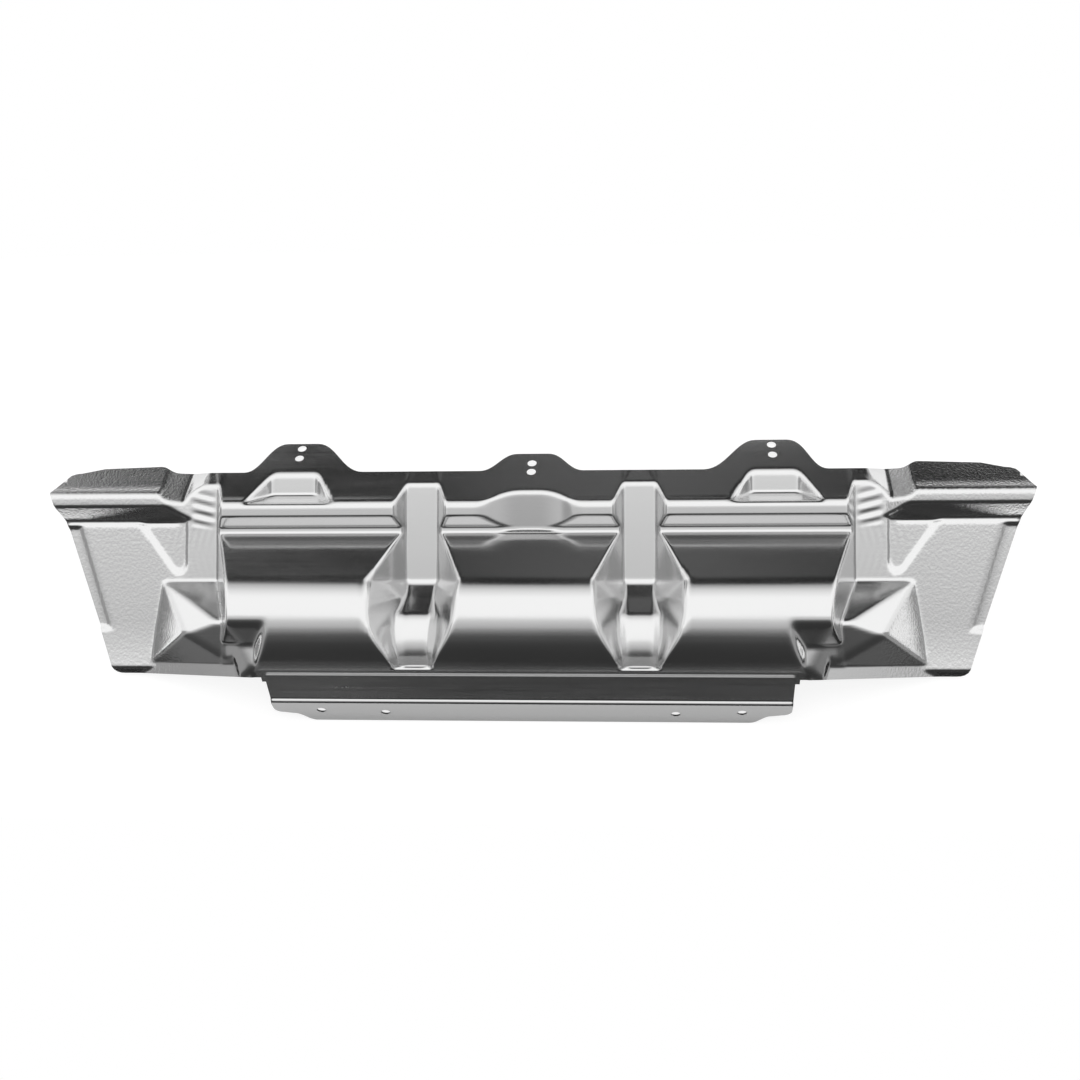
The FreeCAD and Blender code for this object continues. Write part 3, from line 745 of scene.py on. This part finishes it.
def grain_group():
    """Shader group: fine rolled grain, long streaks, handling smudges, and mottling on the end panels."""
    name = "sheet_grain"
    if name in bpy.data.node_groups:
        return bpy.data.node_groups[name]
    tree = bpy.data.node_groups.new(name, "ShaderNodeTree")
    for label in ("Grain", "Streaks", "Smudges"):
        tree.interface.new_socket(label, in_out="INPUT", socket_type="NodeSocketFloat").default_value = 1.0
    for label in ("Roughness Change", "Shade", "Height"):
        tree.interface.new_socket(label, in_out="OUTPUT", socket_type="NodeSocketFloat")
    entry = node(tree, "NodeGroupInput")
    leave = node(tree, "NodeGroupOutput")
    coord = node(tree, "ShaderNodeTexCoord")
    parts = split_coordinate(tree, "Object")
    grain, streaks, smudges = (entry.outputs[label] for label in ("Grain", "Streaks", "Smudges"))

    def noise(scale, stretch, detail=3.0):
        mapping = node(tree, "ShaderNodeMapping", Scale=stretch)
        tree.links.new(coord.outputs["Object"], mapping.inputs["Vector"])
        made = node(tree, "ShaderNodeTexNoise", Scale=scale, Detail=detail)
        tree.links.new(mapping.outputs[0], made.inputs["Vector"])
        return maths(tree, "SUBTRACT", made.outputs["Fac"], 0.5)

    def times(texture, strength, weight):
        return maths(tree, "MULTIPLY", maths(tree, "MULTIPLY", texture, strength), weight)

    fine = noise(700.0, (1, 1, 1), 2.0)
    streak = noise(90.0, (0.12, 4.0, 4.0))
    smudge = noise(14.0, (0.6, 1.2, 1.2), 5.0)
    ends = mapped(tree, maths(tree, "ABSOLUTE", parts.outputs["X"]), 0.29, 0.34)
    mottle = times(noise(520.0, (1, 0.7, 1), 2.0), ends, 9.0)
    rough = maths(tree, "ADD", times(fine, grain, 0.12), times(streak, streaks, 0.10))
    rough = maths(tree, "ADD", rough, times(smudge, smudges, 0.16))
    shade = maths(tree, "ADD", times(streak, streaks, 0.10), times(smudge, smudges, 0.08))
    height = maths(tree, "ADD", times(fine, grain, 1.0), times(streak, streaks, 1.0))
    height = maths(tree, "ADD", height, times(mottle, grain, 1.0))
    for label, result in (("Roughness Change", rough), ("Shade", shade), ("Height", height)):
        tree.links.new(result, leave.inputs[label])
    return tree


def metal(name, colour, roughness, grain, streaks, smudges):
    """Bright sheet metal with the shared grain, streaks and smudges at the strengths given."""
    dark, light, relief_depth = 0.86, 1.1, 0.00002
    material = bpy.data.materials.new(name)
    material.use_nodes = True
    tree = material.node_tree
    shader = tree.nodes["Principled BSDF"]
    shader.inputs["Metallic"].default_value = 1.0
    group = node(tree, "ShaderNodeGroup", node_tree=grain_group())
    for label, value in (("Grain", grain), ("Streaks", streaks), ("Smudges", smudges)):
        group.inputs[label].default_value = value
    rough = maths(tree, "ADD", group.outputs["Roughness Change"], roughness)
    tree.links.new(rough, shader.inputs["Roughness"])
    tones = node(tree, "ShaderNodeValToRGB")
    tones.color_ramp.elements[0].color = tuple(c * dark for c in colour) + (1,)
    tones.color_ramp.elements[1].color = tuple(min(1.0, c * light) for c in colour) + (1,)
    tree.links.new(maths(tree, "ADD", group.outputs["Shade"], 0.5), tones.inputs["Fac"])
    tree.links.new(tones.outputs["Color"], shader.inputs["Base Color"])
    relief = node(tree, "ShaderNodeBump", Strength=1.0, Distance=relief_depth)
    tree.links.new(group.outputs["Height"], relief.inputs["Height"])
    tree.links.new(relief.outputs["Normal"], shader.inputs["Normal"])
    return material


def drawn_sheet_material(context):
    finish = context.scene.shield_finish
    return metal("drawn_sheet", tuple(finish.sheet_colour), finish.roughness, 1.0, 0.6, 1.0)


def folded_strip_material(context):
    finish = context.scene.shield_finish
    return metal("folded_strip", tuple(finish.strip_colour), finish.roughness + 0.03, 0.8, 1.6, 1.0)


# Brightness of the studio by angle from straight up, positive towards the tabs' side, in degrees
STUDIO = [(-180, 0.30), (-100, 0.05), (-92, 0.035), (-60, 0.04), (-48, 0.05), (-34, 0.09), (-28, 0.16),
          (-22, 0.32), (-18, 0.50), (-14, 0.58), (-8, 0.66), (-3, 0.80), (3, 1.14), (40, 1.14), (52, 0.85),
          (58, 0.67), (62, 0.50), (67, 0.02), (79, 0.02), (82, 0.085), (88, 0.135), (91, 0.12), (93, 0.02),
          (100, 0.02), (106, 0.3), (180, 0.30)]
SIDE_BRIGHTNESS = 0.34


def studio_bands(tree, parts):
    """Brightness by the angle from straight up towards the tabs' side."""
    flat = node(tree, "ShaderNodeCombineXYZ")
    tree.links.new(parts.outputs["X"], flat.inputs["X"])
    tree.links.new(parts.outputs["Z"], flat.inputs["Z"])
    rest = node(tree, "ShaderNodeVectorMath", operation="LENGTH")
    tree.links.new(flat.outputs[0], rest.inputs[0])
    across = maths(tree, "MULTIPLY", rest.outputs["Value"], maths(tree, "SIGN", parts.outputs["Z"]))
    angle = maths(tree, "ARCTAN2", parts.outputs["Y"], across)
    tones = node(tree, "ShaderNodeValToRGB")
    tones.color_ramp.interpolation = "LINEAR"
    stops = tones.color_ramp.elements
    for k, (degrees, value) in enumerate(STUDIO):
        place = (degrees + 180) / 360
        stop = stops[0] if k == 0 else stops[-1] if k == len(STUDIO) - 1 else stops.new(place)
        stop.position = place
        stop.color = (value, value, value, 1)
    tree.links.new(mapped(tree, angle, -math.pi, math.pi, kind="LINEAR"), tones.inputs["Fac"])
    return tones.outputs["Color"]


def studio_world():
    """Studio that is white to the camera and banded in what the sheet mirrors, with grey low side walls."""
    world = bpy.data.worlds.new("studio")
    world.use_nodes = True
    tree = world.node_tree
    tree.nodes.clear()
    parts = split_coordinate(tree, "Generated")
    sideways = mapped(tree, maths(tree, "ABSOLUTE", parts.outputs["X"]), 0.78, 0.90)
    low = mapped(tree, parts.outputs["Z"], 0.62, 0.50)
    grey = mapped(tree, parts.outputs["Y"], 0.12, 0.20, SIDE_BRIGHTNESS)
    walls = node(tree, "ShaderNodeMix", data_type="RGBA")
    tree.links.new(maths(tree, "MULTIPLY", sideways, low), walls.inputs[0])
    tree.links.new(studio_bands(tree, parts), walls.inputs[6])
    tree.links.new(grey, walls.inputs[7])
    around = node(tree, "ShaderNodeBackground", Strength=1.19)
    tree.links.new(walls.outputs[2], around.inputs["Color"])
    white = node(tree, "ShaderNodeBackground", Strength=1.0, Color=(1, 1, 1, 1))
    two_faced(tree, around, white, "ShaderNodeOutputWorld")
    return world


def floor_material():
    """Floor that looks white to the camera, with the part's faint shadow.

    What the sheet mirrors of it is pale, brighter to the sides with a painted glow, and dark at the front
    corners with painted shade.
    """
    material = bpy.data.materials.new("pale_floor")
    material.use_nodes = True
    tree = material.node_tree
    tree.nodes.clear()
    parts = split_coordinate(tree, "Object")
    # Side bands of painted light and shade on the floor, seen only in what the sheet mirrors
    painted_side_band = mapped(tree, maths(tree, "ABSOLUTE", parts.outputs["X"]), 0.28, 0.42, top=0.55)
    behind = mapped(tree, parts.outputs["Y"], -0.12, -0.09)
    front = maths(tree, "MULTIPLY", painted_side_band, maths(tree, "SUBTRACT", 1.0, behind))
    matt = node(tree, "ShaderNodeBsdfDiffuse")
    # Painted shade: the mirrored floor turns dark at the front corners
    tree.links.new(mapped(tree, front, 0.0, 0.25, 0.78, 0.02, "LINEAR"), matt.inputs["Color"])
    # Painted glow: the mirrored floor gives off light at the sides, behind the front corners
    painted_glow = node(tree, "ShaderNodeEmission")
    tree.links.new(maths(tree, "MULTIPLY", painted_side_band, behind), painted_glow.inputs["Strength"])
    mirrored = node(tree, "ShaderNodeAddShader")
    tree.links.new(matt.outputs[0], mirrored.inputs[0])
    tree.links.new(painted_glow.outputs[0], mirrored.inputs[1])
    faint = node(tree, "ShaderNodeBsdfDiffuse", Color=(0.22, 0.22, 0.22, 1))
    white = node(tree, "ShaderNodeEmission", Strength=0.86)
    seen = node(tree, "ShaderNodeAddShader")
    tree.links.new(faint.outputs[0], seen.inputs[0])
    tree.links.new(white.outputs[0], seen.inputs[1])
    two_faced(tree, mirrored, seen, "ShaderNodeOutputMaterial")
    return material


class SHIELD_OT_stage(bpy.types.Operator):
    """Builds the pale floor, the studio light and the camera at the photograph's angle"""
    bl_idname = "shield.stage"
    bl_label = "Stage"

    def execute(self, context):
        scene = context.scene
        scene.view_settings.view_transform = "Standard"
        scene.world = studio_world()
        mesh = bpy.data.meshes.new("floor")
        low_y, high_y, wide = -0.22, 0.32, 1.6
        mesh.from_pydata([(-wide, low_y, 0), (wide, low_y, 0), (wide, high_y, 0), (-wide, high_y, 0)], [],
                         [(0, 1, 2, 3)])
        floor = bpy.data.objects.new("floor", mesh)
        floor.data.materials.append(floor_material())
        scene.collection.objects.link(floor)
        key = bpy.data.lights.new("softbox", "AREA")
        key.shape = "RECTANGLE"
        key.size, key.size_y = 2.4, 1.4
        key.energy = 16.0
        lamp = bpy.data.objects.new("softbox", key)
        lamp.location = (0.0, 0.9, 2.6)
        lamp.rotation_euler = (math.radians(-19), 0, 0)
        lamp.visible_glossy = False
        scene.collection.objects.link(lamp)
        camera = bpy.data.cameras.new("camera")
        camera.sensor_width = SENSOR_WIDTH
        camera.lens = FOCAL_LENGTH * SENSOR_WIDTH / IMAGE_WIDTH
        view = bpy.data.objects.new("camera", camera)
        view.location = CAMERA_PLACE
        view.rotation_euler = CAMERA_TURN
        scene.collection.objects.link(view)
        scene.camera = view
        return {"FINISHED"}


class SHIELD_PT_panel(bpy.types.Panel):
    """Lists the shield's pieces in the sidebar"""
    bl_idname = "SHIELD_PT_panel"
    bl_label = "Heat Shield"
    bl_space_type = "VIEW_3D"
    bl_region_type = "UI"
    bl_category = "Heat Shield"

    def draw(self, context):
        scene = context.scene
        for settings in (scene.shield_sizes, scene.shield_finish):
            for name in settings.bl_rna.properties.keys():
                if name not in {"rna_type", "name"}:
                    self.layout.prop(settings, name)
        for operator in (SHIELD_OT_pressing, SHIELD_OT_strip, SHIELD_OT_stage):
            self.layout.operator(operator.bl_idname)


CLASSES = (ShieldSizes, ShieldFinish, SHIELD_OT_pressing, SHIELD_OT_strip, SHIELD_OT_stage, SHIELD_PT_panel)


def register():
    for item in CLASSES:
        bpy.utils.register_class(item)
    bpy.types.Scene.shield_sizes = bpy.props.PointerProperty(type=ShieldSizes)
    bpy.types.Scene.shield_finish = bpy.props.PointerProperty(type=ShieldFinish)


def unregister():
    del bpy.types.Scene.shield_sizes
    del bpy.types.Scene.shield_finish
    for item in reversed(CLASSES):
        bpy.utils.unregister_class(item)


def main():
    register()
    bpy.ops.shield.stage()
    bpy.ops.shield.pressing()
    bpy.ops.shield.strip()


if __name__ == "__main__":
    main()
